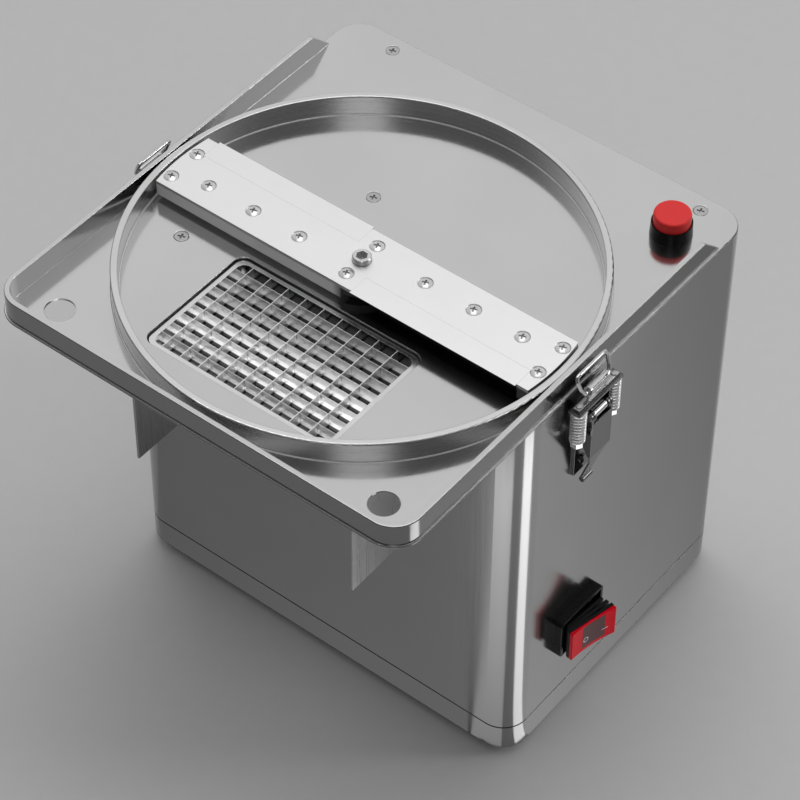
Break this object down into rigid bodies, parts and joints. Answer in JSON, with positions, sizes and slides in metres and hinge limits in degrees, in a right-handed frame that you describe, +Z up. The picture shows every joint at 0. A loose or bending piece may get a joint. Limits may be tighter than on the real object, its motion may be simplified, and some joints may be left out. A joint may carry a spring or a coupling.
{
  "type": "food slicer",
  "caption": "Vegetable dicer base with sheet-metal deck and ring wall, two-wing knife rotor, dicing grid, push button, rocker switch and spring toggle latches.",
  "frame": {"origin": "centre of the footprint on the floor, under the feet", "axes": "+Z up, -Y towards the front where the deck overhangs the chute, +X towards the wall with the rocker switch"},
  "size_m": [0.2908, 0.293, 0.2748],
  "materials": {
    "deck_sheet": "bright brushed sheet, nearly mirror-like",
    "ring_steel": "satin turned steel",
    "grid_steel": "ground edges, bright faces",
    "housing_sheet": "vertical brushed sheet",
    "black_rubber": "matte moulded rubber",
    "zinc_steel": "zinc plated",
    "bright_screw": "bright machine screw",
    "rotor_satin": "fine bead-blasted satin",
    "rotor_body": "milled steel",
    "knife_steel": "ground knife steel",
    "shaft_steel": "turned steel",
    "gear_steel": "hobbed steel, oiled",
    "cast_metal": "as cast, tumbled",
    "bearing_steel": "ground bearing steel",
    "motor_paint": "dark enamel",
    "lamination": "stacked lamination, varnished",
    "black_plastic": "fine moulded texture",
    "red_plastic": "gloss moulded",
    "red_gloss": "gloss moulded with a dark tinted window",
    "spring_steel": "drawn wire",
    "brass_pin": "nickel-brass contacts",
    "latch_steel": "pressed sheet, tumbled",
    "latch_bright": "bright wire and turned pins"
  },
  "bodies": {
    "machine": {"base_gasket": "black_rubber", "base_tray": "housing_sheet", "bearings": "bearing_steel", "button_collar": "black_plastic", "button_spring": "spring_steel", "case_nuts": "zinc_steel", "chute_back": "housing_sheet", "chute_sides": "housing_sheet", "deck_plate": "deck_sheet", "deck_screws": "bright_screw", "feet": "black_rubber", "foot_screws": "zinc_steel", "gear_case": "cast_metal", "gear_case_cover": "cast_metal", "grid_blades_cross": "grid_steel", "grid_blades_long": "grid_steel", "grid_frame": "grid_steel", "grid_seat": "housing_sheet", "hidden_screws": "zinc_steel", "housing_shell": "housing_sheet", "inlet_body": "black_plastic", "inlet_pins": "brass_pin", "inlet_screws": "bright_screw", "latch_plate_left": "latch_steel", "latch_plate_right": "latch_steel", "motor_bells": "cast_metal", "motor_can": "motor_paint", "motor_stator": "lamination", "ring_wall": "ring_steel", "spindle_seal": "black_rubber", "switch_bezel": "black_plastic", "switch_body": "black_plastic"},
    "rotor": {"rotor_top_plate": "rotor_satin", "rotor_carrier": "rotor_body", "rotor_knives": "knife_steel", "rotor_screws": "bright_screw", "hub_bolt": "bright_screw", "spindle_shaft": "shaft_steel", "spindle_gear": "gear_steel"},
    "layshaft_set": {"layshaft": "gear_steel", "layshaft_gear": "gear_steel"},
    "motor_rotor": {"motor_armature": "lamination", "motor_shaft": "shaft_steel"},
    "button": {"button_cap": "red_plastic"},
    "rocker_set": {"rocker": "red_gloss", "rocker_boot": "black_rubber"},
    "lever_right": {"latch_lever_right": "latch_steel", "latch_pins_right": "latch_bright"},
    "bail_right": {"latch_yoke_right": "latch_steel", "latch_rods_right": "latch_bright", "latch_springs_right": "spring_steel", "latch_hook_right": "latch_bright"},
    "lever_left": {"latch_lever_left": "latch_steel", "latch_pins_left": "latch_bright"},
    "bail_left": {"latch_yoke_left": "latch_steel", "latch_rods_left": "latch_bright", "latch_springs_left": "spring_steel", "latch_hook_left": "latch_bright"}
  },
  "joints": [
    {"name": "rotor_spin", "type": "hinge", "parent": "machine", "child": "rotor", "pos_m": [-0.00363, -0.0125, 0.2598], "axis": [0, 0, 1], "continuous": true},
    {"name": "layshaft_spin", "type": "hinge", "parent": "machine", "child": "layshaft_set", "pos_m": [-0.00363, 0.0225, 0.1798], "axis": [0, 0, 1], "continuous": true},
    {"name": "motor_spin", "type": "hinge", "parent": "machine", "child": "motor_rotor", "pos_m": [-0.00363, 0.0575, 0.1098], "axis": [0, 0, 1], "continuous": true},
    {"name": "button_press", "type": "slide", "parent": "machine", "child": "button", "axis": [0, 0, -1], "range_m": [0, 0.0025], "stiffness_N_per_m": 400, "springref_m": -0.002, "deforming": ["button_spring"]},
    {"name": "rocker_tilt", "type": "hinge", "parent": "machine", "child": "rocker_set", "pos_m": [0.12887, 0.00375, 0.0733], "axis": [0, 0, 1], "range_deg": [0, 25.2]},
    {"name": "lever_right_open", "type": "hinge", "parent": "machine", "child": "lever_right", "pos_m": [0.13487, -0.0005, 0.2448], "axis": [0, -1, 0], "range_deg": [0, 100]},
    {"name": "bail_right_swing", "type": "hinge", "parent": "lever_right", "child": "bail_right", "pos_m": [0.13137, -0.0005, 0.2328], "axis": [0, -1, 0], "range_deg": [-100, 0]},
    {"name": "lever_left_open", "type": "hinge", "parent": "machine", "child": "lever_left", "pos_m": [-0.14213, -0.0185, 0.2448], "axis": [0, 1, 0], "range_deg": [0, 100]},
    {"name": "bail_left_swing", "type": "hinge", "parent": "lever_left", "child": "bail_left", "pos_m": [-0.13863, -0.0185, 0.2328], "axis": [0, 1, 0], "range_deg": [-100, 0]}
  ],
  "couplings": [
    {"joint": "layshaft_spin", "follows": "rotor_spin", "ratio": -3},
    {"joint": "motor_spin", "follows": "rotor_spin", "ratio": 9},
    {"joint": "bail_right_swing", "follows": "lever_right_open", "ratio": -1},
    {"joint": "bail_left_swing", "follows": "lever_left_open", "ratio": -1}
  ]
}
